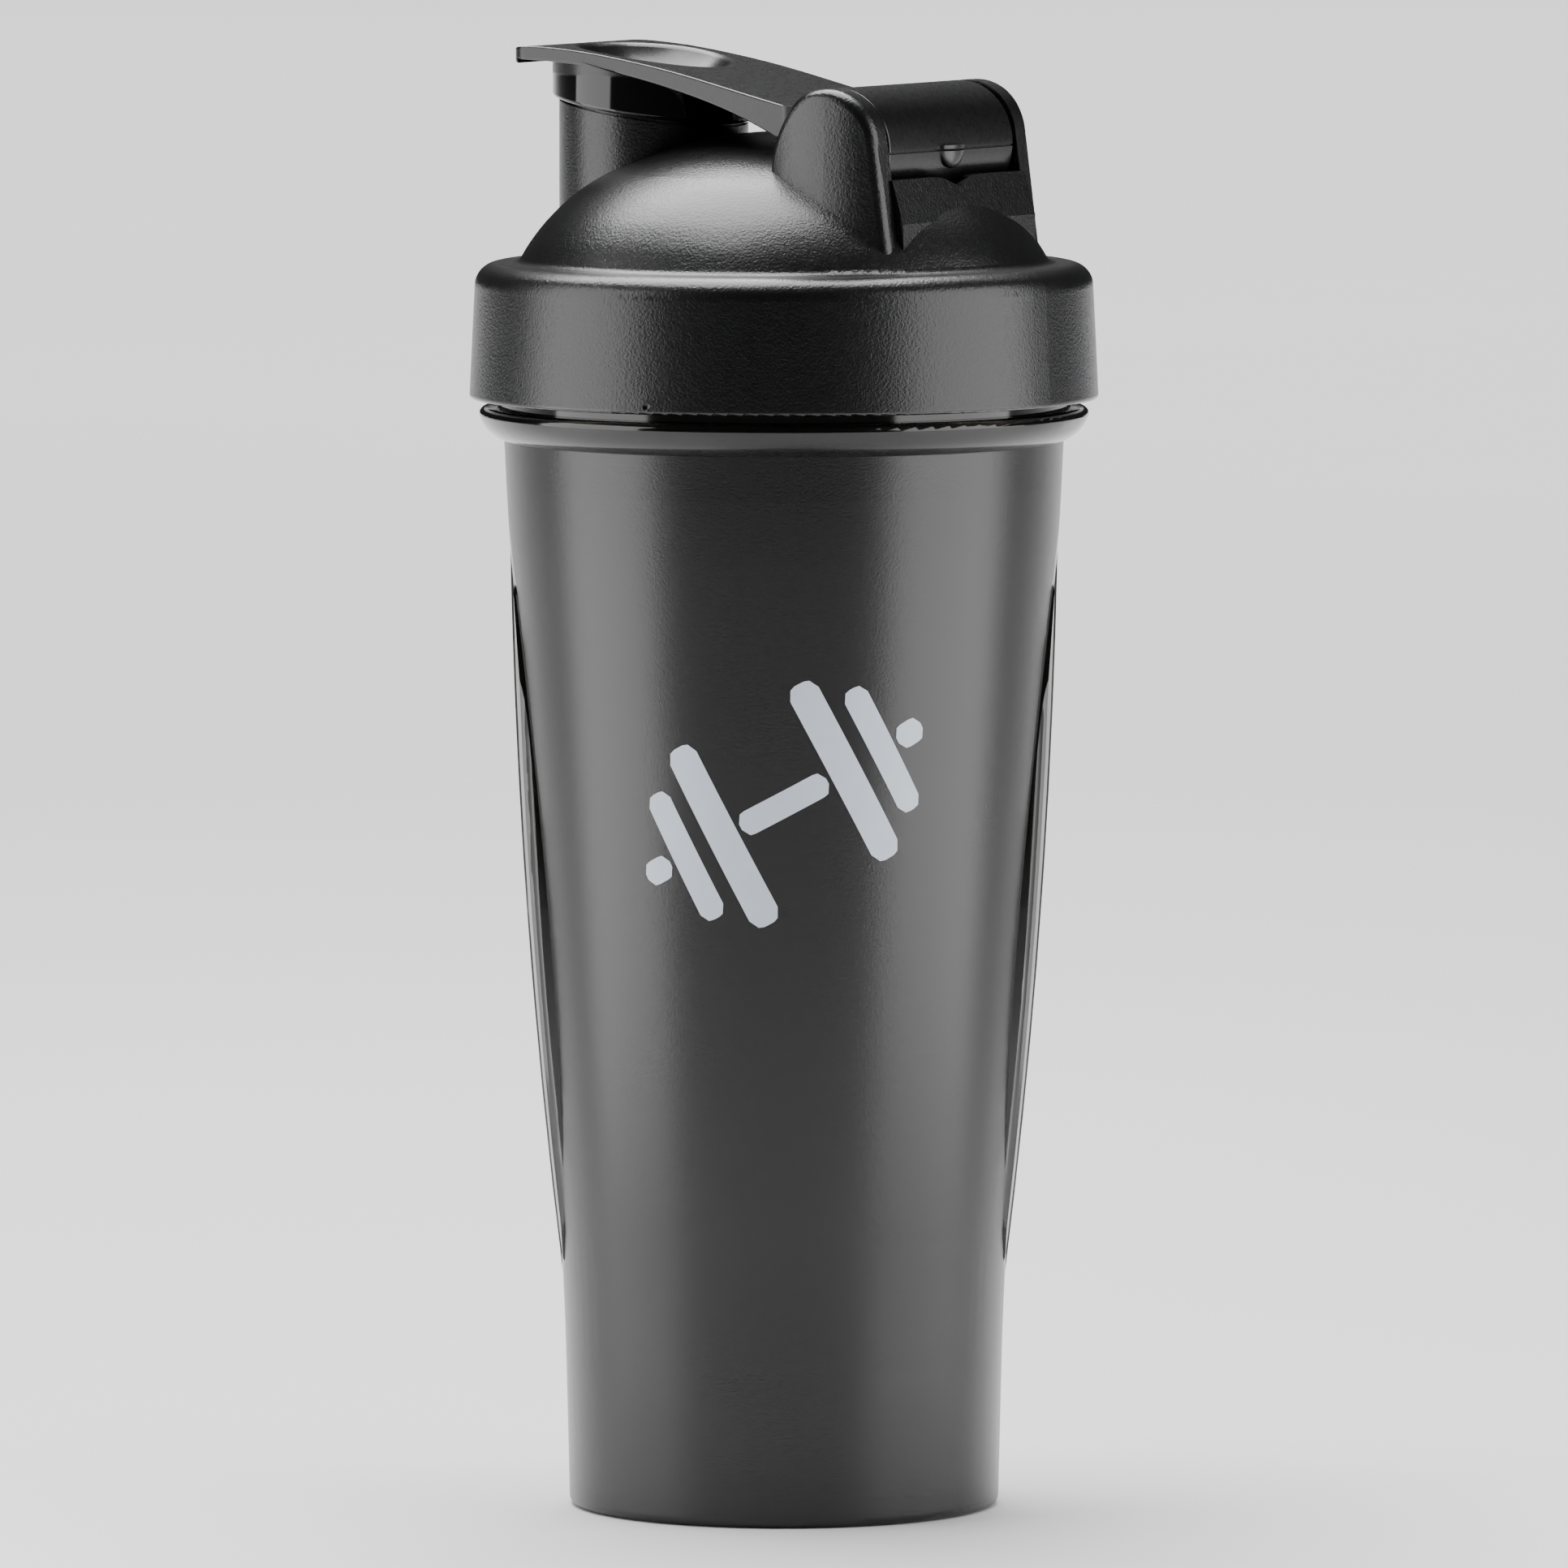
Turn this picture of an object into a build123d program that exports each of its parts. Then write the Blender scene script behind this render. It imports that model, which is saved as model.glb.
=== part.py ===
"""Protein shaker bottle: cup, screw lid, flip cap, seals and a wire whisk ball.

Millimetres. Origin at the centre of the base on the resting plane, +Z up.
The grip panels face +X and -X. The lid and its cap are drawn with the hinge
towards +X and then turned about Z to where the lid's thread stops.
"""
import os
from math import asin, cos, pi, radians, sin, sqrt, tan

from build123d import *

# ---- driving dimensions ------------------------------------------------------

# cup
WALL = 1.8                    # wall of the tapered body
BASE_R = 32.65                # body radius at the foot
FOOT_EDGE = 1.4               # radius of the edge round the foot
BEND_R, BEND_Z = 33.4, 33.0   # where the upright foot turns into the cone
CONE_TOP_R, CONE_TOP_Z = 41.85, 150.5  # where the cone stands up again below the bead
SHOULDER_R, SHOULDER_Z = 42.4, 162.2   # the top, under the bead
BEND_BLEND = 400.0            # radius of those soft turns
FLOOR_Z = 3.0                 # inside face of the floor
RECESS_R, RECESS_DEPTH = 27.0, 0.8     # recess under the floor, inside the foot ring
BEAD_R, BEAD_MID_Z, BEAD_TOP_Z = 46.2, 166.1, 167.3
BEAD_BELLY = (44.75, 163.7)   # (radius, height) half way round the bead's underside
BEAD_CORNER = 1.1
NECK_R, NECK_BORE_R, RIM_Z = 43.4, 41.4, 185.4
RIM_EDGE = 0.6                # chamfer outside the rim
FLOOR_ROUND = 5.0             # inside, where floor and wall meet

# grip panels: an ellipse seen from the side, its crest a shallow arc in (radius, height)
GRIP_HALF_WIDTH, GRIP_HALF_HEIGHT, GRIP_MID_Z = 10.5, 56.0, 92.0
GRIP_OUT_X = 42.0             # plane on which the oval has that size; it widens inwards
GRIP_CREST = [(33.6, 35.0), (38.7, 86.0), (41.55, 149.0)]
GRIP_DRAFT = 14.0             # slope of the panel's side walls, degrees
SCALLOP_R, SCALLOP_DEPTH = 3.6, 0.8
SCALLOP_STEP = 10.3           # degrees between grooves round the axis

# thread between cup and lid
PITCH = 5.5
THREAD_ROOT, THREAD_CREST = 2.3, 1.1   # widths of the thread's section
CUP_THREAD_R, CUP_THREAD_Z, CUP_THREAD_TURNS = 44.75, 172.0, 1.75
LID_THREAD_R, LID_THREAD_TURNS = 43.9, 1.25

# lid
LID_TURN = -33.0              # where the closed lid stops, degrees about +Z
COLLAR_Z, COLLAR_R, COLLAR_TOP_R, COLLAR_BORE_R = 168.6, 47.65, 46.85, 45.4
COLLAR_TOP_Z, COLLAR_CORNER, COLLAR_FOOT = 189.1, 3.5, 0.5
GATE_ANGLE, GATE_R = -115.5, 0.9       # small moulding mark on the collar's lower edge
CEILING_Z = 187.1             # inside face above the cup's rim
DOME_TOP_Z, DOME_TOP_R = 208.9, 59.4    # apex, and the large radius round it
DOME_TURN, DOME_SIDE_R = 25.96, 31.86   # degrees from the axis where the small radius starts
DOME_WALL, DOME_FOOT_Z = 2.2, 189.97
LEDGE_R = 41.2                # the flat top of the collar starts here, with a round up to the dome
PLUG_RING_R, PLUG_RING_BORE_R, PLUG_RING_Z = 40.9, 39.0, 181.0

# spout
SPOUT_X, SPOUT_R, SPOUT_BORE_R = -23.6, 14.4, 12.6
SPOUT_TIP_R = 13.8            # the tip is thinner where the skirt fits over it
RIM_TILT = 8.5                # rim and skirt slope down towards the hinge, degrees
SPOUT_RIM_Z, SKIRT_EDGE_Z = 215.0, 212.0
SKIRT_GAP = 0.5               # between the skirt's edge and the step on the spout

# hinge
HINGE_X, HINGE_Z = 20.9, 207.35
BARREL_R, BARREL_HALF = 9.2, 17.4
EAR_GAP = 18.0                # inner face of each ear from the middle
EAR_FOOT_Z = 190.0            # the ears and the wall between them start here, inside the dome
EAR_FRONT_X, EAR_FRONT_Z = 10.6, 202.0  # the front is upright up to here, then an ellipse
EAR_TOP_X, EAR_TOP_Z = 21.5, 216.6
EAR_REAR = [(30.1, 208.5), (32.7, EAR_FOOT_Z)]
EAR_MID_X, EAR_MID_Y = 21.9, 14.3       # seen from above the outer face is an ellipse about here
EAR_LONG, EAR_WIDE = 16.7, 9.2          # its half axes at the ear's foot
EAR_TAPER = 2.0               # lean of the outer face, degrees
EAR_EDGE = 1.7                # rounding of the ear's outer edges
TROUGH_R, TROUGH_WALL_R = 9.7, 12.2
TROUGH_END = 1.8              # the trough's end walls reach this far past the ears' inner faces
PIN_R, PIN_BORE_R, PIN_END, PIN_BORE_END = 3.0, 3.06, 19.4, 19.6
WEB_REAR = [(31.3, 203.0), (33.3, 196.5), (33.3, EAR_FOOT_Z)]
WEB_DIP, WEB_DIP_HALF = 1.5, 6.3
DRUM_EDGE = 0.4
NUB_R, NUB_OUT, NUB_Z, NUB_TOP_Z = 3.3, 1.2, 207.4, 207.65
NUB_TRACK_R, NUB_TRACK_HALF = 10.8, 3.9   # groove in the lid that the nub runs in
SEAM_Z, SEAM_DEPTH, SEAM_WIDTH = 206.95, 0.4, 0.35

# flip cap
TIP_X, LEVER_HALF, TIP_CORNER = -40.2, 15.0, 3.0
LEVER_TOP = [
    (-40.2, 221.1), (-36.5, 221.45), (-32.0, 221.3), (-26.5, 220.8),
    (-20.0, 219.9), (-10.0, 218.1), (0.0, 215.8), (9.5, 213.6),
]
LEVER_UNDER = [
    (-38.8, 219.45), (-36.5, 219.4), (-30.5, 219.05),
    (-20.0, 217.6), (-10.0, 215.35), (0.0, 212.3), (7.5, 209.1),
]
LIP_Z = 218.85                # underside of the finger lip at the tip
LEVER_BLEND = [(14.0, 213.85), (17.8, 215.95)]   # hollow turn from the lever up on to the barrel
LEVER_EDGE = 0.3
RIM_LOW_Z = 213.5             # edges of the lever below this stay sharp
ROOT_X, ROOT_HALF = 9.5, 17.1 # the lever starts to widen at this X, to this at the barrel
ROOT_RUN = 5.0                # length over which it widens
ROOT_ROUNDS = [0, 3, 6, 0]    # corner radii of that widening
DISH_X, DISH_TOP_Z = -23.3, 219.75      # middle of the dish's opening
DISH_R, DISH_DEPTH, DISH_TILT, DISH_EDGE = 11.4, 5.3, 6.8, 1.4
SKIRT_R, SKIRT_BORE_R, SKIRT_EDGE = 15.4, 14.4, 0.6
SPIGOT_R, SPIGOT_Z = 11.0, 213.0

# spout seal, a soft cup pushed over the cap's spigot
SEAL_TOP_R, SEAL_FOOT_R, SEAL_TOP_Z, SEAL_Z = 12.3, 11.7, 214.4, 211.2
SEAL_FIT = 0.02

# gasket under the lid's ceiling
GASKET_R, GASKET_BORE_R, GASKET_Z, GASKET_TOP_Z = 44.2, 41.15, 185.44, 187.06

# whisk ball
BALL_R, WIRE_R, BALL_TURNS, BALL_STEPS = 25.0, 1.1, 7, 12
BALL_GAP = 0.2                # from the floor of the cup
POLE_ANGLE = 12.0             # the wire starts this far from each pole, degrees
BALL_START = 209.0            # direction of the wire's upper end, degrees about +Z

HUGE = 120.0                  # larger than any feature it cuts
POST_TOP_Z = 225.0            # above the whole cap; posts and rings start out this tall


# ---- helpers -------------------------------------------------------------------

def spun(*edges):
    """A solid of revolution about Z from a closed outline in the XZ plane."""
    return revolve(make_face(Curve() + list(edges)), Axis.Z)


def quarter_round(start, end, centre):
    """A quarter circle in the XZ plane between two (x, z) points about a centre."""
    middle = []
    for a, b, c in zip(start, end, centre):
        middle.append(c + (a + b - 2 * c) * sin(pi / 4))
    return ThreePointArc(*[(x, 0, z) for x, z in (start, middle, end)])


def side_prism(outline, half_width):
    """An outline in the XZ plane, pushed both ways along Y."""
    return extrude(make_face(outline), half_width, both=True)


def outline_xz(points):
    """Straight edges through (x, z) points, closed."""
    corners = [(x, 0, z) for x, z in points]
    return Polyline(*corners, close=True)


def box_between(low, high):
    """A block from its lowest corner to its highest."""
    size = [b - a for a, b in zip(low, high)]
    middle = [(a + b) / 2 for a, b in zip(low, high)]
    return Pos(*middle) * Box(*size)


def barrel(radius, half_length):
    """A cylinder about the hinge axis."""
    return Pos(HINGE_X, 0, HINGE_Z) * Rot(90, 0, 0) * Cylinder(radius, 2 * half_length)


def tube_post(radius, low_z, high_z):
    """A cylinder on the spout's axis."""
    return Pos(SPOUT_X, 0, (low_z + high_z) / 2) * Cylinder(radius, high_z - low_z)


def above_tilted_plane(z_at_spout):
    """Everything above the sloping plane that crosses the spout's axis at this height."""
    half = HUGE / 2
    drop = tan(radians(RIM_TILT)) * half
    corners = [
        (SPOUT_X - half, z_at_spout + drop),
        (SPOUT_X + half, z_at_spout - drop),
        (SPOUT_X + half, z_at_spout + half),
        (SPOUT_X - half, z_at_spout + half),
    ]
    return side_prism(outline_xz(corners), half)


def thread(root_r, crest_r, start_z, turns, start_angle):
    """A helical ridge whose section narrows from root_r to crest_r."""
    path = Helix(PITCH, PITCH * turns, root_r, center=(0, 0, start_z))
    at_start = Plane(origin=path @ 0, x_dir=(1, 0, 0), z_dir=path % 0)
    reach = crest_r - root_r
    section = Polyline(
        (0, -THREAD_ROOT / 2),
        (reach, -THREAD_CREST / 2),
        (reach, THREAD_CREST / 2),
        (0, THREAD_ROOT / 2),
        close=True,
    )
    ridge = sweep(at_start * make_face(section), path=path, is_frenet=True)
    return Rot(0, 0, start_angle) * ridge


# ---- cup -----------------------------------------------------------------------

def cup_outline(offset, low_z):
    """The body's side from low_z to the shoulder, moved in by offset."""
    return FilletPolyline(
        (BASE_R - offset, 0, low_z),
        (BEND_R - offset, 0, BEND_Z),
        (CONE_TOP_R - offset, 0, CONE_TOP_Z),
        (SHOULDER_R - offset, 0, SHOULDER_Z),
        radius=BEND_BLEND,
    )


def cup_outside():
    """The tapered body, the stop bead and the neck, still solid."""
    side = cup_outline(0, FOOT_EDGE)
    inner = BASE_R - FOOT_EDGE
    foot = quarter_round((inner, 0), (BASE_R, FOOT_EDGE), (inner, FOOT_EDGE))
    corner_x, corner_z = BEAD_R - BEAD_CORNER, BEAD_TOP_Z - BEAD_CORNER
    bead_corner = quarter_round((BEAD_R, corner_z), (corner_x, BEAD_TOP_Z), (corner_x, corner_z))
    belly_r, belly_z = BEAD_BELLY
    bead_under = ThreePointArc(
        (SHOULDER_R, 0, SHOULDER_Z), (belly_r, 0, belly_z), (BEAD_R, 0, BEAD_MID_Z)
    )
    bead_side = Line((BEAD_R, 0, BEAD_MID_Z), (BEAD_R, 0, corner_z))
    neck = Polyline(
        (corner_x, 0, BEAD_TOP_Z),
        (NECK_R, 0, BEAD_TOP_Z),
        (NECK_R, 0, RIM_Z - RIM_EDGE),
        (NECK_R - RIM_EDGE, 0, RIM_Z),
        (0, 0, RIM_Z),
        (0, 0, 0),
        (inner, 0, 0),
    )
    return spun(foot, side, bead_under, bead_side, bead_corner, neck)


def cup_inside():
    """The drinking space, from the floor to the mouth."""
    side = cup_outline(WALL, FLOOR_Z + FLOOR_ROUND)
    start = side @ 0
    inner = start.X - FLOOR_ROUND
    rest = Polyline(
        side @ 1,
        (NECK_BORE_R, 0, BEAD_TOP_Z),
        (NECK_BORE_R, 0, RIM_Z + 1),
        (0, 0, RIM_Z + 1),
        (0, 0, FLOOR_Z),
        (inner, 0, FLOOR_Z),
    )
    round_edge = quarter_round((inner, FLOOR_Z), (start.X, start.Z), (inner, start.Z))
    return spun(side, rest, round_edge)


def crest_arc(outward, angle):
    """The grip's crest line, moved outward and turned to its place round the cup."""
    low, mid, high = [(r + outward, 0, z) for r, z in GRIP_CREST]
    return Rot(0, 0, angle) * ThreePointArc(low, mid, high)


def grip_panel(side_angle):
    """A raised oval with grooves along it, on the side that side_angle faces."""
    low, mid, high = [(r, 0, z) for r, z in GRIP_CREST]
    crest = ThreePointArc(low, mid, high)
    core = Polyline(high, (BASE_R - 5, 0, high[2]), (BASE_R - 5, 0, low[2]), low)
    band = spun(crest, core)
    plane = Plane(origin=(GRIP_OUT_X, 0, GRIP_MID_Z), x_dir=(0, 1, 0), z_dir=(-1, 0, 0))
    oval = plane * Ellipse(GRIP_HALF_WIDTH, GRIP_HALF_HEIGHT)
    pad = band & extrude(oval, GRIP_OUT_X - BASE_R + 8, taper=-GRIP_DRAFT)
    for step in (-1.5, -0.5, 0.5, 1.5):
        path = crest_arc(SCALLOP_R - SCALLOP_DEPTH, step * SCALLOP_STEP)
        section = Plane(origin=path @ 0, z_dir=path % 0) * Circle(SCALLOP_R)
        pad -= sweep(section, path=path)
    return Rot(0, 0, side_angle) * pad


def cup():
    """The whole cup in one moulding."""
    body = cup_outside() + grip_panel(0) + grip_panel(180)
    body += thread(NECK_R - 0.4, CUP_THREAD_R, CUP_THREAD_Z, CUP_THREAD_TURNS, 0)
    body -= cup_inside()
    return body - Pos(0, 0, RECESS_DEPTH / 2) * Cylinder(RECESS_R, RECESS_DEPTH)


# ---- lid -----------------------------------------------------------------------

def dome_arcs(inset, low_z):
    """The dome's profile, or one inset from it: two arcs from the height low_z to the apex."""
    turn, top_centre_z = radians(DOME_TURN), DOME_TOP_Z - DOME_TOP_R
    top_r, side_r = DOME_TOP_R - inset, DOME_SIDE_R - inset
    side_x = (DOME_TOP_R - DOME_SIDE_R) * sin(turn)
    side_z = top_centre_z + (DOME_TOP_R - DOME_SIDE_R) * cos(turn)

    def on_top(angle):
        return (top_r * sin(angle), 0, top_centre_z + top_r * cos(angle))

    def on_side(angle):
        return (side_x + side_r * sin(angle), 0, side_z + side_r * cos(angle))

    low = pi / 2 - asin((low_z - side_z) / side_r)
    side = ThreePointArc(on_side(low), on_side((low + turn) / 2), on_side(turn))
    return side, ThreePointArc(on_top(turn), on_top(turn / 2), on_top(0))


def lid_outside():
    """Collar and dome, solid down to the collar's lower edge."""
    dome_side, dome_top = dome_arcs(0, DOME_FOOT_Z)
    base = Line((0, 0, COLLAR_Z), (COLLAR_R - COLLAR_FOOT, 0, COLLAR_Z))
    inner, low = COLLAR_R - COLLAR_FOOT, COLLAR_Z + COLLAR_FOOT
    foot = quarter_round((inner, COLLAR_Z), (COLLAR_R, low), (inner, low))
    side = Line((COLLAR_R, 0, low), (COLLAR_TOP_R, 0, COLLAR_TOP_Z - COLLAR_CORNER))
    inner, low = COLLAR_TOP_R - COLLAR_CORNER, COLLAR_TOP_Z - COLLAR_CORNER
    corner = quarter_round((COLLAR_TOP_R, low), (inner, COLLAR_TOP_Z), (inner, low))
    ledge = Line((inner, 0, COLLAR_TOP_Z), (LEDGE_R, 0, COLLAR_TOP_Z))
    valley = TangentArc(ledge @ 1, dome_side @ 0, tangent=(-1, 0, 0))
    axis = Line(dome_top @ 1, (0, 0, COLLAR_Z))
    return spun(base, foot, side, corner, ledge, valley, dome_side, dome_top, axis)


def lid_inside():
    """The space in the collar and under the dome, without the plug ring."""
    dome_side, dome_top = dome_arcs(DOME_WALL, CEILING_Z)
    walls = Polyline(
        (0, 0, COLLAR_Z - 1),
        (COLLAR_BORE_R, 0, COLLAR_Z - 1),
        (COLLAR_BORE_R, 0, CEILING_Z),
        dome_side @ 0,
    )
    axis = Line(dome_top @ 1, (0, 0, COLLAR_Z - 1))
    return spun(walls, dome_side, dome_top, axis)


def ear(side):
    """One hinge ear: a fat oval lug seen from above, a round-topped one from the side."""
    rear_high, rear_low = [(x, 0, z) for x, z in EAR_REAR]
    front_low, front_high = (EAR_FRONT_X, 0, EAR_FOOT_Z), (EAR_FRONT_X, 0, EAR_FRONT_Z)
    top = (EAR_TOP_X, 0, EAR_TOP_Z)
    bend = sin(pi / 4)
    front_mid = (
        EAR_TOP_X - (EAR_TOP_X - EAR_FRONT_X) * bend, 0,
        EAR_FRONT_Z + (EAR_TOP_Z - EAR_FRONT_Z) * bend,
    )
    front = Spline(front_high, front_mid, top, tangents=[(0, 0, 1), (1, 0, 0)])
    outline = Curve() + [
        Line(front_low, front_high),
        front,
        TangentArc(top, rear_high, tangent=(1, 0, 0)),
        Line(rear_high, rear_low),
        Line(rear_low, front_low),
    ]
    oval = Pos(EAR_MID_X, EAR_MID_Y, EAR_FOOT_Z - 1) * Ellipse(EAR_LONG, EAR_WIDE)
    lug = extrude(oval, EAR_TOP_Z - EAR_FOOT_Z + 2, taper=EAR_TAPER)
    lug &= side_prism(outline, HUGE) & box_between((0, EAR_GAP, 0), (HUGE, HUGE, 2 * HUGE))
    outer = []
    for edge in lug.edges():
        on_outside = min((edge @ 0).Y, (edge @ 1).Y) > EAR_GAP + 0.5
        if on_outside and edge.center().Z > EAR_FOOT_Z + 1:
            outer.append(edge)
    lug = fillet(outer, EAR_EDGE)
    return lug if side > 0 else mirror(lug, Plane.XZ)


def web():
    """The wall that joins the ears behind the barrel, dipped where the nub passes."""
    top_z = WEB_REAR[0][1]
    corners = [(HINGE_X, EAR_FOOT_Z), (HINGE_X, top_z)] + WEB_REAR
    wall = side_prism(outline_xz(corners), EAR_GAP + 0.5)
    ends = [(0, -WEB_DIP_HALF, top_z), (0, WEB_DIP_HALF, top_z)]
    dip = Spline(ends[0], (0, 0, top_z - WEB_DIP), ends[1], tangents=[(0, 1, 0), (0, 1, 0)])
    above = Polyline(ends[1], (0, WEB_DIP_HALF, HINGE_Z), (0, -WEB_DIP_HALF, HINGE_Z), ends[0])
    return wall - extrude(make_face(Curve() + [dip, above]), HUGE, dir=(1, 0, 0))


def lid():
    """The lid in one moulding, turned to where its thread stops."""
    shell = lid_outside() + web() + ear(1) + ear(-1)
    post = tube_post(SPOUT_TIP_R, CEILING_Z, POST_TOP_Z) - above_tilted_plane(SPOUT_RIM_Z)
    sleeve = tube_post(SPOUT_R, CEILING_Z, POST_TOP_Z) - above_tilted_plane(SKIRT_EDGE_Z - SKIRT_GAP)
    shell += post + sleeve
    hollow = lid_inside() - barrel(TROUGH_WALL_R, EAR_GAP + TROUGH_END)
    shell -= hollow
    shell -= tube_post(SPOUT_BORE_R, CEILING_Z, POST_TOP_Z)
    shell -= barrel(TROUGH_R, EAR_GAP)
    shell -= barrel(NUB_TRACK_R, NUB_TRACK_HALF)
    shell -= barrel(PIN_BORE_R, PIN_BORE_END)
    ring = Pos(0, 0, PLUG_RING_Z) * Cylinder(
        PLUG_RING_R, CEILING_Z - PLUG_RING_Z + 0.3, align=(Align.CENTER, Align.CENTER, Align.MIN)
    )
    shell += ring - Pos(0, 0, PLUG_RING_Z) * Cylinder(PLUG_RING_BORE_R, HUGE)
    start_z = CUP_THREAD_Z + PITCH / 2
    ridge = thread(COLLAR_BORE_R + 0.4, LID_THREAD_R, start_z, LID_THREAD_TURNS, 0)
    shell = Rot(0, 0, LID_TURN) * (shell + ridge)
    gate = Rot(0, 0, GATE_ANGLE) * Pos(COLLAR_R + 0.5 * GATE_R, 0, COLLAR_Z + 1.3) * Sphere(GATE_R)
    return shell - gate


# ---- flip cap --------------------------------------------------------------------

def lever_side():
    """The lever's outline from the side, from its tip to inside the barrel."""
    valley, heel, tip_under = LEVER_TOP[-1], LEVER_UNDER[-1], LEVER_UNDER[0]
    blend_mid, blend_end = LEVER_BLEND
    top = Spline(*[(x, 0, z) for x, z in LEVER_TOP])
    blend = ThreePointArc(
        (valley[0], 0, valley[1]), (blend_mid[0], 0, blend_mid[1]), (blend_end[0], 0, blend_end[1])
    )
    back = Polyline((blend_end[0], 0, blend_end[1]), (HINGE_X, 0, HINGE_Z), (heel[0], 0, heel[1]))
    under = Spline(*[(x, 0, z) for x, z in reversed(LEVER_UNDER)])
    lip = Polyline(
        (tip_under[0], 0, tip_under[1]),
        (tip_under[0], 0, LIP_Z),
        (TIP_X, 0, LIP_Z),
        (TIP_X, 0, LEVER_TOP[0][1]),
    )
    return Curve() + [top, blend, back, under, lip]


def under_lever(shape):
    """The part of a shape that lies below the middle of the lever's thickness."""
    middle = [(x, (top + under) / 2) for (x, top), (_, under) in zip(LEVER_TOP, LEVER_UNDER)]
    below = outline_xz([(-HUGE, 0), (-HUGE, middle[0][1])] + middle + [(HUGE, 0)])
    return shape & side_prism(below, HUGE)


def lever():
    """The arm with its rounded tip and edges, the spigot under it and the dish in its top."""
    arm = side_prism(lever_side(), LEVER_HALF)
    tip = [edge for edge in arm.edges() if edge.center().X < TIP_X + 0.1 and edge.length < LEVER_HALF]
    arm = fillet([edge for edge in tip if abs(edge.center().Y) > LEVER_HALF - 0.1], TIP_CORNER)
    rim = []
    for edge in arm.edges():
        start, end, middle = edge @ 0, edge @ 1, edge.center()
        upright = abs(start.X - end.X) < 0.01 and abs(start.Y - end.Y) < 0.01
        outer = abs(middle.Y) > LEVER_HALF - 2 or middle.X < TIP_X + 1
        if outer and not upright and middle.X < ROOT_X - 0.1 and min(start.Z, end.Z) > RIM_LOW_Z:
            rim.append(edge)
    arm = fillet(rim, LEVER_EDGE)
    arm += under_lever(tube_post(SPIGOT_R, SPIGOT_Z, POST_TOP_Z))
    ball_r = (DISH_R**2 + DISH_DEPTH**2) / (2 * DISH_DEPTH)
    lift, lean = ball_r - DISH_DEPTH, radians(DISH_TILT)
    centre = Vector(DISH_X + lift * sin(lean), 0, DISH_TOP_Z + lift * cos(lean))
    arm -= Pos(centre) * Sphere(ball_r)
    dish_rim = []
    for edge in arm.edges():
        points = [edge @ part for part in (0, 0.3, 0.6, 1)]
        on_ball = all(abs((point - centre).length - ball_r) < 0.01 for point in points)
        if on_ball and min(point.Z for point in points) > DISH_TOP_Z - DISH_DEPTH / 2:
            dish_rim.append(edge)
    return fillet(dish_rim, DISH_EDGE)


def root():
    """The lever's wide end, where it runs into the barrel."""
    half_plan = FilletPolyline(
        (HINGE_X, 0), (HINGE_X, ROOT_HALF), (ROOT_X + ROOT_RUN, ROOT_HALF),
        (ROOT_X, LEVER_HALF), (ROOT_X - ROOT_RUN, LEVER_HALF), (ROOT_X - ROOT_RUN, 0),
        radius=ROOT_ROUNDS,
    )
    plan = make_face(Curve() + [half_plan, mirror(half_plan, Plane.XZ)])
    wide = side_prism(lever_side(), ROOT_HALF) & extrude(plan, 2 * HUGE)
    return wide & box_between((ROOT_X - 0.01, -HUGE, 0), (HINGE_X, HUGE, 2 * HUGE))


def skirt():
    """The ring that hangs from the lever round the spout's tip, its edge sloping."""
    ring = tube_post(SKIRT_R, COLLAR_TOP_Z, POST_TOP_Z) & above_tilted_plane(SKIRT_EDGE_Z)
    lower = [edge for edge in ring.edges() if edge.center().Z < SKIRT_EDGE_Z + 3 and edge.length > 30]
    ring = fillet(lower, SKIRT_EDGE) - tube_post(SKIRT_BORE_R, COLLAR_TOP_Z, POST_TOP_Z)
    return under_lever(ring)


def nub():
    """The small half-round catch in the middle of the barrel's rear face."""
    ball = Pos(HINGE_X + BARREL_R - 0.2, 0, NUB_Z) * scale(Sphere(1), by=(NUB_OUT + 0.2, NUB_R, NUB_R))
    return ball & box_between((HINGE_X, -HUGE, 0), (HUGE, HUGE, NUB_TOP_Z))


def flip_cap():
    """Lever, dish, skirt, spigot, hinge barrel and trunnions in one moulding."""
    drum = barrel(BARREL_R, BARREL_HALF)
    drum = fillet([edge for edge in drum.edges() if edge.geom_type == GeomType.CIRCLE], DRUM_EDGE)
    cap = lever() + root() + skirt() + drum + barrel(PIN_R, PIN_END) + nub()
    rear = HINGE_X + BARREL_R
    cap -= box_between(
        (rear - SEAM_DEPTH, -HUGE, SEAM_Z - SEAM_WIDTH / 2), (HUGE, HUGE, SEAM_Z + SEAM_WIDTH / 2)
    )
    return Rot(0, 0, LID_TURN) * cap


# ---- seals -----------------------------------------------------------------------

def spout_seal():
    """A soft cup round the spigot, tapered so that it swings clear of the spout."""
    lip = 0.8
    outline = Polyline(
        (0, 0, SEAL_Z),
        (SEAL_FOOT_R - lip, 0, SEAL_Z),
        (SEAL_FOOT_R, 0, SEAL_Z + lip),
        (SEAL_TOP_R, 0, SEAL_TOP_Z - lip),
        (SEAL_TOP_R, 0, SEAL_TOP_Z),
        (SPIGOT_R + SEAL_FIT, 0, SEAL_TOP_Z),
        (SPIGOT_R + SEAL_FIT, 0, SPIGOT_Z - SEAL_FIT),
        (0, 0, SPIGOT_Z - SEAL_FIT),
        close=True,
    )
    plug = revolve(make_face(outline), Axis.Z)
    return Rot(0, 0, LID_TURN) * Pos(SPOUT_X, 0, 0) * plug


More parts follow.
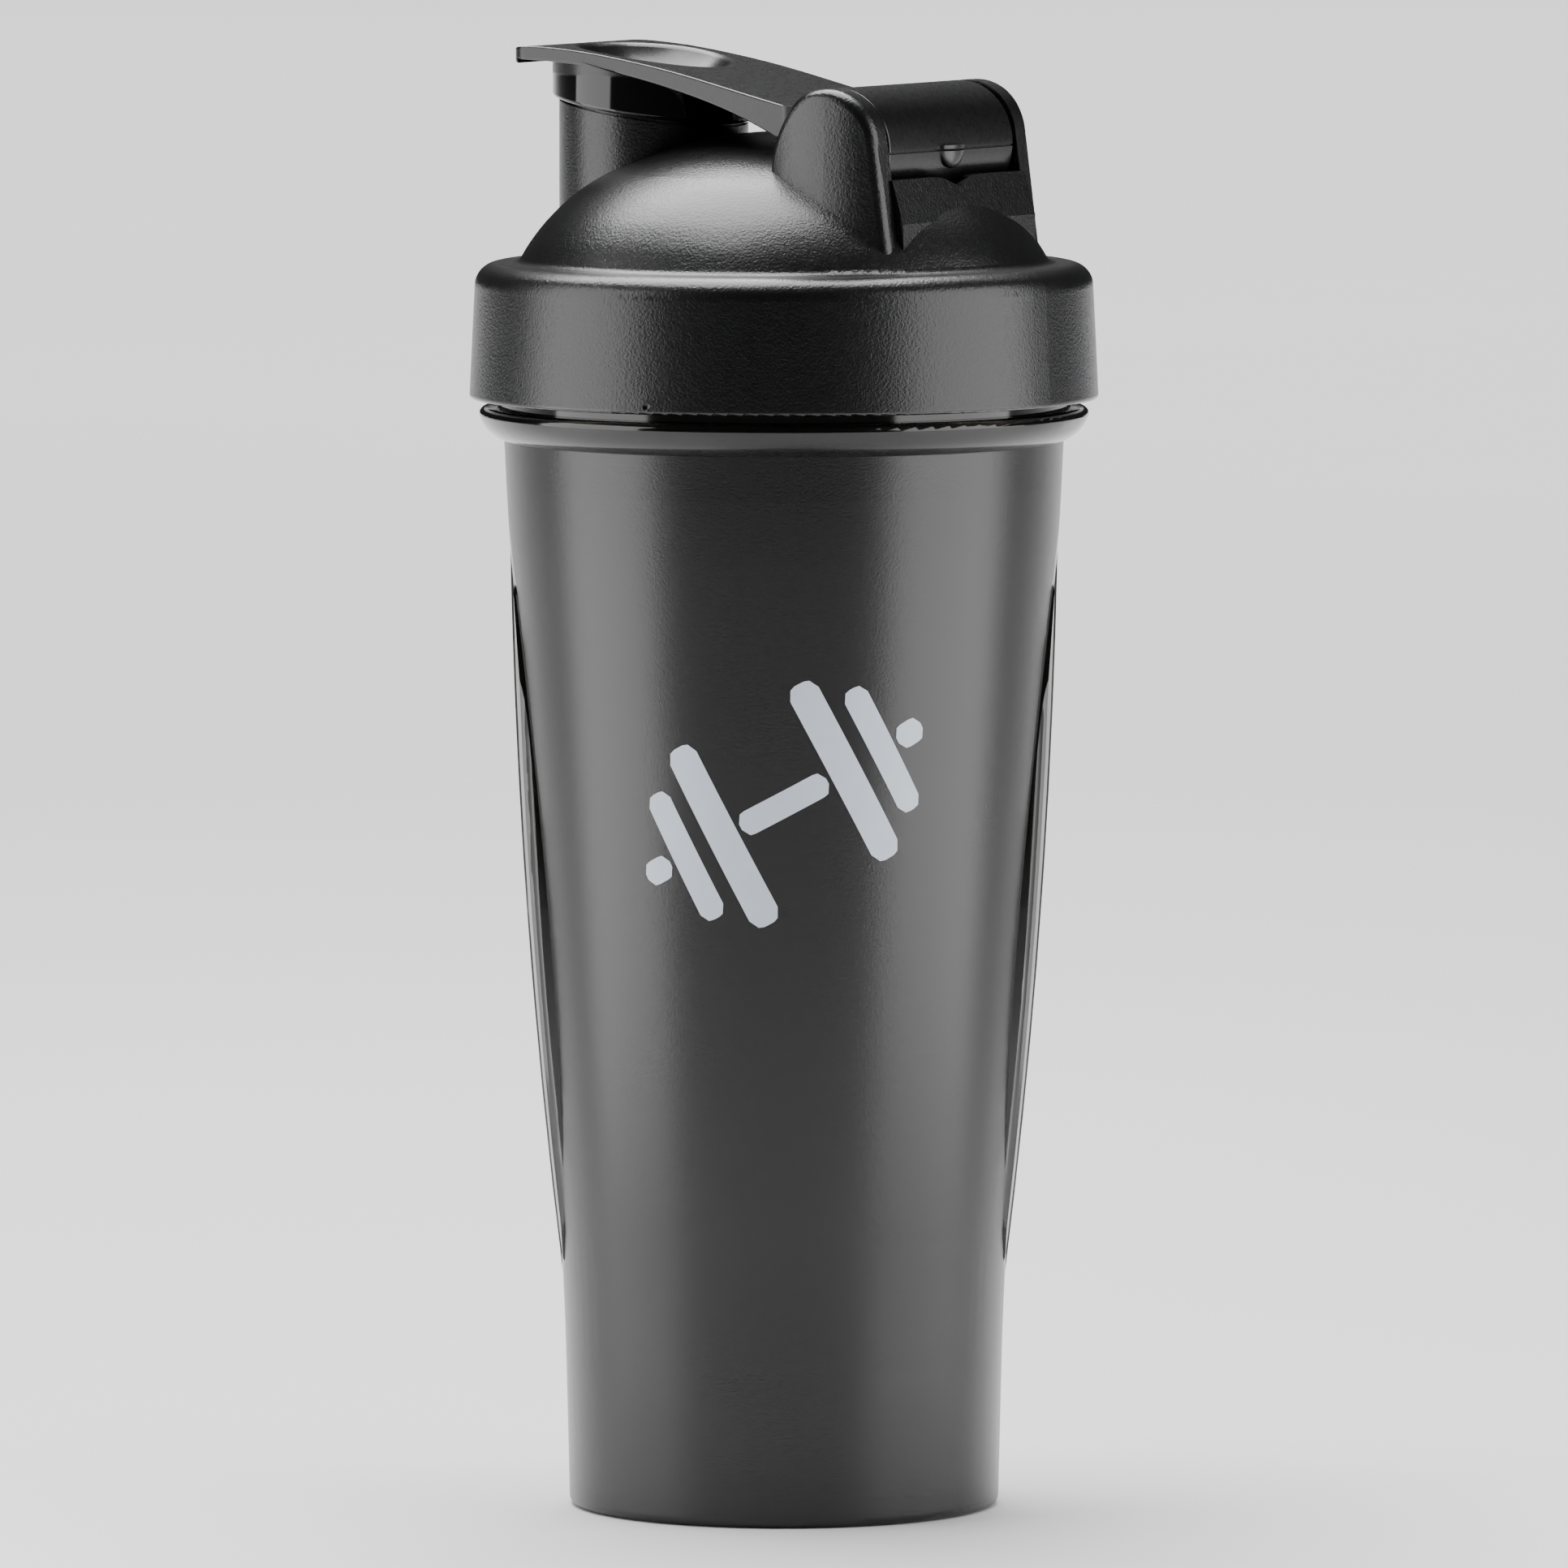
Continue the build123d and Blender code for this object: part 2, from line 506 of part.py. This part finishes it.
def lid_gasket():
    """A flat ring with chamfered edges between the cup's rim and the lid."""
    edge = 0.4
    outline = Polyline(
        (GASKET_BORE_R, 0, GASKET_Z),
        (GASKET_R - edge, 0, GASKET_Z),
        (GASKET_R, 0, GASKET_Z + edge),
        (GASKET_R, 0, GASKET_TOP_Z - edge),
        (GASKET_R - edge, 0, GASKET_TOP_Z),
        (GASKET_BORE_R, 0, GASKET_TOP_Z),
        close=True,
    )
    return revolve(make_face(outline), Axis.Z)


# ---- whisk ball --------------------------------------------------------------------

def whisk_ball():
    """One wire wound clockwise from pole to pole on a sphere."""
    reach = BALL_R - WIRE_R
    centre_z = FLOOR_Z + BALL_GAP + BALL_R
    steps = BALL_TURNS * BALL_STEPS
    points = []
    for step in range(steps + 1):
        part = step / steps
        round_angle = radians(BALL_START) - 2 * pi * BALL_TURNS * part
        pole_angle = radians(POLE_ANGLE + (180 - 2 * POLE_ANGLE) * part)
        level_r = reach * sin(pole_angle)
        height = centre_z + reach * cos(pole_angle)
        points.append(Vector(level_r * cos(round_angle), level_r * sin(round_angle), height))
    radii = []
    for before, here, after in zip(points, points[1:], points[2:]):
        run = min((here - before).length, (after - here).length)
        turn = radians((here - before).get_angle(after - here))
        radii.append(0.45 * run / tan(turn / 2))
    path = FilletPolyline(*points, radius=radii)
    section = Plane(origin=path @ 0, z_dir=path % 0) * Circle(WIRE_R)
    return sweep(section, path=path)


# ---- write the pieces ----------------------------------------------------------------

PIECES = {
    "cup": cup,
    "lid": lid,
    "flip_cap": flip_cap,
    "spout_seal": spout_seal,
    "lid_gasket": lid_gasket,
    "whisk_ball": whisk_ball,
}

os.makedirs("parts", exist_ok=True)
for name, make in PIECES.items():
    export_step(make(), f"parts/{name}.step")
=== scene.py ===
"""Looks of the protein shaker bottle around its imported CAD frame.

Metres, in the CAD's own frame: foot centre at the origin, +Z up, printed front towards -Y.
"""

import math

import bmesh
import bpy
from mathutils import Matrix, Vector


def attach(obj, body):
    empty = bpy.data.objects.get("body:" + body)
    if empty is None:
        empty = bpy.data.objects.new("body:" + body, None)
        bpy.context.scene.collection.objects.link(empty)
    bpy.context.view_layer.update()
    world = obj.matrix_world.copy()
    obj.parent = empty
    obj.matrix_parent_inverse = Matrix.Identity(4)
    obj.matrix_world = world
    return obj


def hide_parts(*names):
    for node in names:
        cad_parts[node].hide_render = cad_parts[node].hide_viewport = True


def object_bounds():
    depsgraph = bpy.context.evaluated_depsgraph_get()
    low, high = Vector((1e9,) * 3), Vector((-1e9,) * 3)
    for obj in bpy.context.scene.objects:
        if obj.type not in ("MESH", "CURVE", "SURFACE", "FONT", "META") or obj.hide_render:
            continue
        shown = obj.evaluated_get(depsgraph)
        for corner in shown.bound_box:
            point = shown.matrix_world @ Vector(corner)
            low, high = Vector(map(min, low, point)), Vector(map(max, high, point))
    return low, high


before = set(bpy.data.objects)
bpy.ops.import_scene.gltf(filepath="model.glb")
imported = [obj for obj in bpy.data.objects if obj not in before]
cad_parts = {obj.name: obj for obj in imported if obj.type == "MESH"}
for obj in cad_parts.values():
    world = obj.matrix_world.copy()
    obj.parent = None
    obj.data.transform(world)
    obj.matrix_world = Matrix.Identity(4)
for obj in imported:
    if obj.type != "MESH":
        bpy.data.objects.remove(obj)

# ---- sizes, metres --------------------------------------------------------------------

GRAIN_SIZE, GRAIN_DEPTH = 0.00040, 0.00006   # moulded grain: cell width and relief
GRIP_HALF_WIDTH, GRIP_HALF_HEIGHT, GRIP_MID_Z = 0.0125, 0.058, 0.092
GRIP_NEAR_X = (0.020, 0.025)  # the grips are only on the cup's sides, past these
BEAD_Z = 0.1623
BALL_R, BALL_Z, WIRE_R, WIRE_TURNS = 0.025, 0.0282, 0.0011, 7
WIRE_START, POLE_ANGLE = math.radians(209), math.radians(12)
WIRE_STEPS, WIRE_SIDES = 40, 12
COLLAR_FOOT_Z = 0.1693        # the collar is polished below this
COLLAR_FADE, SKIRT_FADE, POLISH_FADE = 0.0004, 0.0003, 0.0005   # the grain fades out over these
SKIRT_TOP_Z = 0.2175          # the skirt hangs below the lever from about here
SKIRT_X, SKIRT_Y, SKIRT_R = -0.01979, 0.01285, 0.0160   # round the spout's axis
CONE_LOW, CONE_HIGH = (0.033, 0.0334), (0.1505, 0.04185)   # (height, radius) of the cup's wall
EMBLEM_Z, EMBLEM_TILT, INK_LIFT = 0.110, math.radians(28), 0.00004
BAR_HALF, BAR_THICK = 0.0245, 0.0019
PLATES = [(0.0105, 0.0048, 0.0150), (0.0172, 0.0040, 0.0105)]   # distance out, thickness, half height
INK_STEP, INK_GAP = 0.0008, 0.0007

# ---- colours ----------------------------------------------------------------------------

BLACK_DARK, BLACK_PALE = (0.0022, 0.0022, 0.0024), (0.0034, 0.0034, 0.0036)
RUBBER_DARK, RUBBER_PALE = (0.035, 0.035, 0.037), (0.05, 0.05, 0.053)
STEEL_DARK, STEEL_PALE = (0.55, 0.55, 0.56), (0.68, 0.68, 0.69)
INK_DARK, INK_PALE = (0.50, 0.56, 0.63), (0.58, 0.64, 0.71)
FLOOR_DARK, FLOOR_PALE = (0.66, 0.66, 0.67), (0.70, 0.70, 0.71)
CUP_TINT_DARK, CUP_TINT_PALE = (0.013, 0.0118, 0.0100), (0.016, 0.0145, 0.0124)
CUP_CLEARNESS = 0.85

# ---- camera -----------------------------------------------------------------------

CAMERA_DISTANCE = 2.63
CAMERA_ELEVATION = math.radians(4.85)
VIEW_WIDTH = 0.238            # width of the picture at the bottle
SENSOR_WIDTH = 36.0
AIM_PART = 0.4957             # height of the picture's middle, as a part of the bottle's height

# ---- lights: sizes in metres, powers in watts, directions in degrees from the camera's side ----

SIDE_BOX_AWAY, SIDE_BOX_TALL = 0.32, 0.42      # the side boxes stand on the floor by the bottle
LEFT_BOX_TURN, LEFT_BOX_WIDE, LEFT_BOX_POWER = -76, 0.27, 1.5
RIGHT_BOX_TURN, RIGHT_BOX_WIDE, RIGHT_BOX_POWER = 70, 0.33, 1.8
TOP_BOX_TURN, TOP_BOX_RISE, TOP_BOX_AWAY = 205, 70, 1.0
TOP_BOX_SIZE, TOP_BOX_POWER = (1.0, 1.05), 40
FAR_BOX_PLACE, FAR_BOX_UP, FAR_BOX_SIZE = (0, 4.0, 0), 1.8, (6.0, 6.0)
FAR_BOX_POWER, FAR_BOX_SPREAD = 260, math.radians(100)
SKY_COLOUR, SKY_STRENGTH = (0.9, 0.92, 0.95, 1), 0.03
FLOOR_R, FLOOR_RINGS, FLOOR_SIDES = 9.0, 8, 64


def look_at(position, target):
    """A rotation that points an object's -Z from position to target."""
    return (Vector(target) - Vector(position)).to_track_quat("-Z", "Y").to_euler()


def make_camera(height):
    """A long lens a little above the bottle's middle, facing its printed front."""
    aim = Vector((0, 0, AIM_PART * height))
    back = Vector((0, -math.cos(CAMERA_ELEVATION), math.sin(CAMERA_ELEVATION)))
    data = bpy.data.cameras.new("camera")
    data.sensor_width = SENSOR_WIDTH
    data.lens = SENSOR_WIDTH * CAMERA_DISTANCE / VIEW_WIDTH
    data.clip_end = 50.0
    camera = bpy.data.objects.new("camera", data)
    camera.location = aim + back * CAMERA_DISTANCE
    camera.rotation_euler = look_at(camera.location, aim)
    bpy.context.scene.collection.objects.link(camera)
    bpy.context.scene.camera = camera


# ---- stage and lights ----------------------------------------------------------------

def area_light(name, azimuth, elevation, distance, size, power, aim):
    """A soft box, azimuth in degrees from the camera's side, positive to the right."""
    angle, rise = math.radians(azimuth), math.radians(elevation)
    away = Vector((
        math.sin(angle) * math.cos(rise),
        -math.cos(angle) * math.cos(rise),
        math.sin(rise),
    ))
    data = bpy.data.lights.new(name, "AREA")
    data.shape = "RECTANGLE"
    data.size, data.size_y = size
    data.energy = power
    light = bpy.data.objects.new(name, data)
    light.location = Vector(aim) + away * distance
    light.rotation_euler = look_at(light.location, aim)
    light.visible_camera = False
    bpy.context.scene.collection.objects.link(light)
    return light


def make_lights(height):
    """Two tall soft boxes close to the sides, one overhead, and a light for the far floor."""
    middle = (0, 0, SIDE_BOX_TALL / 2)
    left_size, right_size = (LEFT_BOX_WIDE, SIDE_BOX_TALL), (RIGHT_BOX_WIDE, SIDE_BOX_TALL)
    area_light("left_box", LEFT_BOX_TURN, 0, SIDE_BOX_AWAY, left_size, LEFT_BOX_POWER, middle)
    area_light("right_box", RIGHT_BOX_TURN, 0, SIDE_BOX_AWAY, right_size, RIGHT_BOX_POWER, middle)
    area_light(
        "top_box", TOP_BOX_TURN, TOP_BOX_RISE, TOP_BOX_AWAY, TOP_BOX_SIZE, TOP_BOX_POWER, (0, 0, height)
    )
    far = area_light(
        "far_floor_box", 180, 89, FAR_BOX_UP, FAR_BOX_SIZE, FAR_BOX_POWER, FAR_BOX_PLACE
    )
    far.data.spread = FAR_BOX_SPREAD
    world = bpy.data.worlds.new("studio")
    world.use_nodes = True
    background = world.node_tree.nodes["Background"]
    background.inputs["Color"].default_value = SKY_COLOUR
    background.inputs["Strength"].default_value = SKY_STRENGTH
    bpy.context.scene.world = world


def make_stage():
    """A pale round floor."""
    mesh = bpy.data.meshes.new("studio_floor")
    bm = bmesh.new()
    middle = bm.verts.new((0, 0, 0))
    rows = []
    for ring in range(1, FLOOR_RINGS + 1):
        reach = FLOOR_R * ring / FLOOR_RINGS
        row = []
        for side in range(FLOOR_SIDES):
            angle = 2 * math.pi * side / FLOOR_SIDES
            row.append(bm.verts.new((reach * math.cos(angle), reach * math.sin(angle), 0)))
        rows.append(row)
    for side in range(FLOOR_SIDES):
        after = (side + 1) % FLOOR_SIDES
        bm.faces.new((middle, rows[0][side], rows[0][after]))
        for inner, outer in zip(rows, rows[1:]):
            bm.faces.new((inner[side], outer[side], outer[after], inner[after]))
    bm.to_mesh(mesh)
    bm.free()
    floor = bpy.data.objects.new("studio_floor", mesh)
    bpy.context.scene.collection.objects.link(floor)
    mesh.materials.append(floor_material())


# ---- materials -----------------------------------------------------------------------

class Nodes:
    """A material's node tree, with short ways to add and join nodes."""

    def __init__(self, name, **values):
        self.material = bpy.data.materials.new(name)
        self.material.use_nodes = True
        self.tree = self.material.node_tree
        self.shader = self.tree.nodes["Principled BSDF"]
        for key, value in values.items():
            self.shader.inputs[key.replace("_", " ")].default_value = value
        self.coordinates = self.add("ShaderNodeTexCoord").outputs["Object"]

    def add(self, kind, inputs=(), **settings):
        """A node with some properties set; inputs maps socket names or numbers to values or links."""
        node = self.tree.nodes.new(kind)
        for key, value in settings.items():
            setattr(node, key, value)
        for key, value in dict(inputs).items():
            self.feed(node.inputs[key], value)
        return node

    def feed(self, socket, value):
        """Links an output to a socket, or sets the socket's own value."""
        if isinstance(value, bpy.types.NodeSocket):
            self.tree.links.new(value, socket)
        else:
            socket.default_value = value

    def math(self, operation, *values):
        node = self.add("ShaderNodeMath", enumerate(values), operation=operation)
        return node.outputs[0]

    def axes(self):
        """The x, y and z of the surface point, in metres."""
        return self.add("ShaderNodeSeparateXYZ", {0: self.coordinates}).outputs

    def noise(self, size, detail=2.0):
        """Noise whose features are about size across, in metres."""
        inputs = {"Vector": self.coordinates, "Scale": 1 / size, "Detail": detail}
        return self.add("ShaderNodeTexNoise", inputs).outputs["Fac"]

    def grain(self, size):
        """Leather-like moulding grain: noise bent by coarser noise, so that it runs in short folds."""
        warp = self.add("ShaderNodeTexNoise", {"Vector": self.coordinates, "Scale": 1 / (3 * size)})
        push = {0: warp.outputs["Color"], 3: 2 * size}
        shift = self.add("ShaderNodeVectorMath", push, operation="SCALE")
        bent = self.add("ShaderNodeVectorMath", {0: self.coordinates, 1: shift.outputs[0]})
        inputs = {"Vector": bent.outputs[0], "Scale": 1 / size, "Detail": 2.0, "Roughness": 0.5}
        return self.add("ShaderNodeTexNoise", inputs).outputs["Fac"]

    def blend(self, factor, low, high):
        """A value that goes from low to high as factor goes from 0 to 1."""
        inputs = {"Value": factor, "To Min": low, "To Max": high}
        return self.add("ShaderNodeMapRange", inputs).outputs[0]

    def step(self, value, start, end):
        """0 below start and 1 above end, smooth between them."""
        inputs = {"Value": value, "From Min": start, "From Max": end}
        return self.add("ShaderNodeMapRange", inputs, interpolation_type="SMOOTHSTEP").outputs[0]

    def colour(self, factor, low, high):
        ramp = self.add("ShaderNodeValToRGB", {0: factor})
        ramp.color_ramp.elements[0].color = (*low, 1)
        ramp.color_ramp.elements[1].color = (*high, 1)
        self.feed(self.shader.inputs["Base Color"], ramp.outputs[0])

    def roughness(self, value):
        self.feed(self.shader.inputs["Roughness"], value)

    def bump(self, height, distance, strength=1.0):
        """Surface relief, distance in metres for a height of 1."""
        inputs = {"Height": height, "Distance": distance, "Strength": strength}
        node = self.add("ShaderNodeBump", inputs)
        self.feed(self.shader.inputs["Normal"], node.outputs[0])


def floor_material():
    """A pale matt floor, very slightly uneven in colour."""
    nodes = Nodes("studio_floor", Roughness=0.7)
    nodes.colour(nodes.noise(0.4), FLOOR_DARK, FLOOR_PALE)
    return nodes.material


def lid_material():
    """Black polypropylene with a fine moulded grain, smooth along the collar's lower edge."""
    nodes = Nodes("lid_plastic", IOR=1.49)
    nodes.colour(nodes.noise(0.004, 3.0), BLACK_DARK, BLACK_PALE)
    foot = nodes.step(nodes.axes()[2], COLLAR_FOOT_Z, COLLAR_FOOT_Z - COLLAR_FADE)
    nodes.roughness(nodes.blend(foot, nodes.blend(nodes.noise(0.0015, 3.0), 0.25, 0.33), 0.12))
    relief = nodes.math("MULTIPLY", nodes.grain(GRAIN_SIZE), nodes.math("SUBTRACT", 1.0, foot))
    nodes.bump(relief, GRAIN_DEPTH)
    return nodes.material


def cap_material():
    """Black satin plastic; the skirt round the spout is polished."""
    nodes = Nodes("cap_plastic", IOR=1.49)
    nodes.colour(nodes.noise(0.004, 3.0), BLACK_DARK, BLACK_PALE)
    x, y, z = nodes.axes()
    aside = nodes.math("SUBTRACT", x, SKIRT_X)
    deep = nodes.math("SUBTRACT", y, SKIRT_Y)
    reach = nodes.math("SQRT", nodes.math(
        "ADD", nodes.math("MULTIPLY", aside, aside), nodes.math("MULTIPLY", deep, deep)
    ))
    near = nodes.step(reach, SKIRT_R + SKIRT_FADE, SKIRT_R)
    polish = nodes.math("MULTIPLY", near, nodes.step(z, SKIRT_TOP_Z, SKIRT_TOP_Z - POLISH_FADE))
    nodes.roughness(nodes.blend(polish, nodes.blend(nodes.noise(0.001, 3.0), 0.24, 0.32), 0.08))
    relief = nodes.math("MULTIPLY", nodes.grain(GRAIN_SIZE * 0.5), nodes.math("SUBTRACT", 1.0, polish))
    nodes.bump(relief, GRAIN_DEPTH * 0.15)
    return nodes.material


def cup_material():
    """Smoke-black translucent plastic, finely grained; grips, bead and neck are polished."""
    nodes = Nodes("smoked_plastic", IOR=1.5, Transmission_Weight=CUP_CLEARNESS)
    nodes.colour(nodes.noise(0.02, 2.0), CUP_TINT_DARK, CUP_TINT_PALE)
    x, y, z = nodes.axes()
    side = nodes.math("DIVIDE", y, GRIP_HALF_WIDTH)
    tall = nodes.math("DIVIDE", nodes.math("SUBTRACT", z, GRIP_MID_Z), GRIP_HALF_HEIGHT)
    reach = nodes.math("ADD", nodes.math("MULTIPLY", side, side), nodes.math("MULTIPLY", tall, tall))
    aside = nodes.step(nodes.math("ABSOLUTE", x), *GRIP_NEAR_X)
    grip = nodes.math("MULTIPLY", nodes.step(reach, 1.02, 0.97), aside)
    bead = nodes.step(z, BEAD_Z, BEAD_Z + POLISH_FADE)
    polish = nodes.math("MAXIMUM", grip, bead)
    nodes.roughness(nodes.blend(polish, 0.27, 0.10))
    relief = nodes.math("MULTIPLY", nodes.grain(GRAIN_SIZE * 0.8), nodes.math("SUBTRACT", 1.0, polish))
    nodes.bump(relief, GRAIN_DEPTH * 0.6)
    return nodes.material


def rubber_material(name):
    """Soft matt sealing rubber."""
    nodes = Nodes(name, IOR=1.45)
    nodes.colour(nodes.noise(0.002, 3.0), RUBBER_DARK, RUBBER_PALE)
    nodes.roughness(nodes.blend(nodes.noise(0.0006, 2.0), 0.6, 0.75))
    nodes.bump(nodes.noise(0.0004, 2.0), 0.00001)
    return nodes.material


def steel_material():
    """Drawn stainless wire: bright, with fine marks."""
    nodes = Nodes("wire_steel", Metallic=1.0)
    nodes.colour(nodes.noise(0.001, 3.0), STEEL_DARK, STEEL_PALE)
    nodes.roughness(nodes.blend(nodes.noise(0.0005, 3.0), 0.16, 0.3))
    nodes.bump(nodes.noise(0.0003, 2.0), 0.000006)
    return nodes.material


def ink_material():
    """Pale printed ink with a faint unevenness."""
    nodes = Nodes("pale_ink", IOR=1.45)
    nodes.colour(nodes.noise(0.006, 4.0), INK_DARK, INK_PALE)
    nodes.roughness(nodes.blend(nodes.noise(0.001, 3.0), 0.42, 0.55))
    nodes.bump(nodes.noise(0.0005, 2.0), 0.000008)
    return nodes.material


# ---- pieces --------------------------------------------------------------------------

def add_piece(name, bm, material, body, smooth=True):
    """Turns a bmesh into a piece that rides on a body."""
    mesh = bpy.data.meshes.new(name)
    bm.to_mesh(mesh)
    bm.free()
    mesh.polygons.foreach_set("use_smooth", [smooth] * len(mesh.polygons))
    mesh.materials.append(material)
    piece = bpy.data.objects.new(name, mesh)
    bpy.context.scene.collection.objects.link(piece)
    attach(piece, body)
    return piece


def wire_points():
    """The whisk's centre line: a clockwise spiral on a sphere, from pole to pole."""
    reach = BALL_R - WIRE_R
    steps = WIRE_TURNS * WIRE_STEPS
    points = []
    for step in range(steps + 1):
        part = step / steps
        around = WIRE_START - 2 * math.pi * WIRE_TURNS * part
        down = POLE_ANGLE + (math.pi - 2 * POLE_ANGLE) * part
        level = reach * math.sin(down)
        height = BALL_Z + reach * math.cos(down)
        points.append(Vector((level * math.cos(around), level * math.sin(around), height)))
    return points


def tube_along(points, radius, sides):
    """A round tube with domed ends along a list of points."""
    bm = bmesh.new()
    rings = []
    normal = Vector((0, 0, 1))
    for index, point in enumerate(points):
        before = points[max(index - 1, 0)]
        after = points[min(index + 1, len(points) - 1)]
        along = (after - before).normalized()
        normal = (normal - along * normal.dot(along)).normalized()
        across = along.cross(normal)
        ring = []
        for side in range(sides):
            angle = 2 * math.pi * side / sides
            outward = normal * math.cos(angle) + across * math.sin(angle)
            ring.append(bm.verts.new(point + radius * outward))
        rings.append(ring)
    for ring, following in zip(rings, rings[1:]):
        for side in range(sides):
            after = (side + 1) % sides
            bm.faces.new((ring[side], ring[after], following[after], following[side]))
    for ring, point, outward in ((rings[0], points[0], points[0] - points[1]),
                                 (rings[-1], points[-1], points[-1] - points[-2])):
        tip = bm.verts.new(point + outward.normalized() * radius * 0.6)
        for side in range(sides):
            bm.faces.new((ring[side], ring[(side + 1) % sides], tip))
    bmesh.ops.recalc_face_normals(bm, faces=bm.faces)
    return bm


def make_whisk(material):
    """The whisk's wire, in place of its CAD solid."""
    bm = tube_along(wire_points(), WIRE_R, WIRE_SIDES)
    piece = add_piece("whisk_wire", bm, material, "whisk")
    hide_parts("whisk_ball")


def front_point(across, height, lift):
    """A point on the cup's front, a distance across and lifted off the wall."""
    (low_z, low_r), (high_z, high_r) = CONE_LOW, CONE_HIGH
    radius = low_r + (high_r - low_r) * (height - low_z) / (high_z - low_z) + lift
    angle = across / radius
    return Vector((radius * math.sin(angle), -radius * math.cos(angle), height))


def emblem_strip(bm, centre_u, half_u, half_v):
    """A round-ended strip of the emblem, wrapped on to the cup's front."""
    corner = min(half_u, half_v) * 0.75
    columns = max(2, round(2 * half_u / INK_STEP))
    rows = max(2, round(2 * half_v / INK_STEP))
    turn, lean = math.cos(EMBLEM_TILT), math.sin(EMBLEM_TILT)
    grid = []
    for column in range(columns + 1):
        u = -half_u + 2 * half_u * column / columns
        inset = max(0.0, abs(u) - (half_u - corner))
        tall = half_v - corner + math.sqrt(max(0.0, corner * corner - inset * inset))
        line = []
        for row in range(rows + 1):
            v = -tall + 2 * tall * row / rows
            across = (centre_u + u) * turn - v * lean
            height = EMBLEM_Z + (centre_u + u) * lean + v * turn
            line.append(bm.verts.new(front_point(across, height, INK_LIFT)))
        grid.append(line)
    for line, following in zip(grid, grid[1:]):
        for row in range(rows):
            bm.faces.new((line[row], following[row], following[row + 1], line[row + 1]))


def make_emblem(material):
    """A plain tilted dumbbell printed on the front of the cup."""
    bm = bmesh.new()
    emblem_strip(bm, 0.0, PLATES[0][0] - PLATES[0][1] / 2 - INK_GAP, BAR_THICK)
    for out, thick, tall in PLATES:
        for side in (-1, 1):
            emblem_strip(bm, side * out, thick / 2, tall)
    stub = BAR_HALF - PLATES[-1][0] - PLATES[-1][1] / 2 - INK_GAP
    for side in (-1, 1):
        emblem_strip(bm, side * (BAR_HALF - stub / 2), stub / 2, BAR_THICK)
    bmesh.ops.recalc_face_normals(bm, faces=bm.faces)
    add_piece("emblem_ink", bm, material, "cup")


def main():
    """Builds the camera, stage, lights, finishes and pieces."""
    cad_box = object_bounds()
    height = cad_box[1][2] - cad_box[0][2]
    make_camera(height)
    make_stage()
    make_lights(height)
    steel = steel_material()
    finishes = {
        "cup": cup_material(),
        "lid": lid_material(),
        "flip_cap": cap_material(),
        "spout_seal": rubber_material("seal_rubber"),
        "lid_gasket": rubber_material("gasket_rubber"),
        "whisk_ball": steel,
    }
    for node, material in finishes.items():
        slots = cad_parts[node].material_slots
        for place in slots:
            place.material = material
    make_whisk(steel)
    make_emblem(ink_material())


main()
